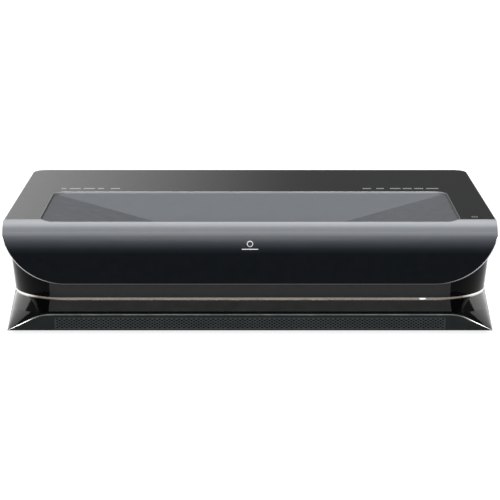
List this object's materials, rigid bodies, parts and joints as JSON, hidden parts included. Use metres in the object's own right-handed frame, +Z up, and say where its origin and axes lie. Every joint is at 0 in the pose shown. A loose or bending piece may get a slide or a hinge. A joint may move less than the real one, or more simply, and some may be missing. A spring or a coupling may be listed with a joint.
{
  "type": "home projector",
  "caption": "Wide ultra-short-throw laser projector with a sunken light path in its deck, a curved glossy visor, a narrow waist, a perforated plinth and screw feet",
  "frame": {"origin": "under the centre of the projector's box, on the surface that its feet stand on", "axes": "+X to the right as seen from the front, +Y to the back, +Z up; the front faces -Y"},
  "size_m": [0.6, 0.35, 0.144],
  "materials": {
    "satin_deck": "satin graphite moulding",
    "visor_gloss": "glossy blue-black panel",
    "trim_metal": "pale champagne metal finish",
    "dark_trim": "smoked bright metal finish",
    "bezel_silver": "satin silver paint",
    "recess_plastic": "matte mid-grey moulding",
    "window_glass": "coated optical glass",
    "black_rubber": "soft black rubber",
    "piano_black": "piano black gloss",
    "grille_plastic": "fine matte black",
    "panel_grey": "fine dark grey",
    "led_white": "diffusing white lens",
    "base_plastic": "textured black moulding",
    "plinth_grey": "dark teal-grey paint",
    "speaker_mesh": "dark perforated sheet",
    "plated_steel": "nickel-plated steel",
    "socket_black": "glass-filled black plastic",
    "circuit_board": "green solder mask",
    "cast_aluminium": "bead-blasted casting",
    "lens_glass": "coated lens glass",
    "mirror_coating": "silvered surface",
    "fin_aluminium": "thin sheet fins",
    "copper_pipe": "bare copper",
    "cone_paper": "pressed paper cone",
    "fan_plastic": "black fan plastic"
  },
  "bodies": {
    "housing": {"top_cover": "satin_deck", "front_visor": "visor_gloss", "visor_trim": "dark_trim", "recess_liner": "recess_plastic", "recess_bezel": "bezel_silver", "projection_window": "window_glass", "window_gasket": "black_rubber", "side_shell_right": "piano_black", "side_shell_left": "piano_black", "side_grille_right": "grille_plastic", "side_grille_left": "grille_plastic", "upper_front_panel": "panel_grey", "lower_front_panel": "panel_grey", "waist_trim": "trim_metal", "status_led_lens": "led_white", "base_skirt": "piano_black", "base_tray": "base_plastic", "plinth_frame": "plinth_grey", "plinth_mesh": "speaker_mesh", "rear_panel": "base_plastic", "hdmi_sockets": "plated_steel", "usb_sockets": "plated_steel", "lan_socket": "plated_steel", "audio_jack": "socket_black", "ac_inlet": "socket_black", "power_switch": "circuit_board", "chassis_plate": "plated_steel", "engine_housing": "cast_aluminium", "lens_barrel": "socket_black", "lens_elements": "lens_glass", "focus_motor": "plated_steel", "aspheric_mirror": "mirror_coating", "mirror_bracket": "cast_aluminium", "dmd_heatsink": "fin_aluminium", "wheel_motor": "plated_steel", "laser_module": "cast_aluminium", "heat_pipes": "copper_pipe", "fin_stack": "fin_aluminium", "main_board": "circuit_board", "power_supply": "circuit_board", "speaker_enclosures": "socket_black", "speaker_drivers": "plated_steel", "fan_frames": "fan_plastic", "case_screws": "plated_steel", "rear_feet": "black_rubber"},
    "power_button": {"power_button": "satin_deck"},
    "focus_screw": {"focus_leadscrew": "plated_steel"},
    "focus_group": {"focus_carriage": "socket_black", "focus_lens": "lens_glass"},
    "phosphor_wheel": {"phosphor_wheel": "mirror_coating"},
    "exhaust_fan": {"exhaust_fan_rotor": "fan_plastic"},
    "intake_fan": {"intake_fan_rotor": "fan_plastic"},
    "cone_right": {"speaker_cone_right": "cone_paper"},
    "cone_left": {"speaker_cone_left": "cone_paper"},
    "foot_stud_right": {"foot_stud_right": "plated_steel"},
    "foot_stud_left": {"foot_stud_left": "plated_steel"},
    "foot_disc_right": {"foot_disc_right": "base_plastic", "foot_pad_right": "black_rubber"},
    "foot_disc_left": {"foot_disc_left": "base_plastic", "foot_pad_left": "black_rubber"}
  },
  "joints": [
    {"name": "power_button_press", "type": "slide", "parent": "housing", "child": "power_button", "axis": [0, 0, -1], "range_m": [0, 0.001], "stiffness_N_per_m": 1200},
    {"name": "exhaust_fan_spin", "type": "hinge", "parent": "housing", "child": "exhaust_fan", "pos_m": [0.27, 0.055, 0.068], "axis": [1, 0, 0], "continuous": true},
    {"name": "intake_fan_spin", "type": "hinge", "parent": "housing", "child": "intake_fan", "pos_m": [-0.27, 0.055, 0.068], "axis": [1, 0, 0], "continuous": true},
    {"name": "phosphor_wheel_spin", "type": "hinge", "parent": "housing", "child": "phosphor_wheel", "pos_m": [0.11, 0.06, 0.052], "axis": [0, 1, 0], "continuous": true},
    {"name": "focus_screw_turn", "type": "hinge", "parent": "housing", "child": "focus_screw", "pos_m": [0.038, 0, 0.06], "axis": [0, 1, 0], "range_deg": [-1080, 1080]},
    {"name": "focus_travel", "type": "slide", "parent": "housing", "child": "focus_group", "axis": [0, 1, 0], "range_m": [-0.0015, 0.0015]},
    {"name": "cone_right_stroke", "type": "slide", "parent": "housing", "child": "cone_right", "axis": [0, 1, 0], "range_m": [-0.001, 0.001], "stiffness_N_per_m": 1000},
    {"name": "cone_left_stroke", "type": "slide", "parent": "housing", "child": "cone_left", "axis": [0, 1, 0], "range_m": [-0.001, 0.001], "stiffness_N_per_m": 1000},
    {"name": "foot_right_lift", "type": "slide", "parent": "housing", "child": "foot_stud_right", "axis": [0, 0, -1], "range_m": [0, 0.0075]},
    {"name": "foot_right_turn", "type": "hinge", "parent": "foot_stud_right", "child": "foot_disc_right", "pos_m": [0.24, -0.12, 0.004], "axis": [0, 0, 1], "range_deg": [0, 1800]},
    {"name": "foot_left_lift", "type": "slide", "parent": "housing", "child": "foot_stud_left", "axis": [0, 0, -1], "range_m": [0, 0.0075]},
    {"name": "foot_left_turn", "type": "hinge", "parent": "foot_stud_left", "child": "foot_disc_left", "pos_m": [-0.24, -0.12, 0.004], "axis": [0, 0, 1], "range_deg": [0, 1800]}
  ],
  "couplings": [
    {"joint": "focus_screw_turn", "follows": "focus_travel", "rad_per_m": 12500},
    {"joint": "foot_right_lift", "follows": "foot_right_turn", "m_per_rad": 0.0002387},
    {"joint": "foot_left_lift", "follows": "foot_left_turn", "m_per_rad": 0.0002387}
  ]
}
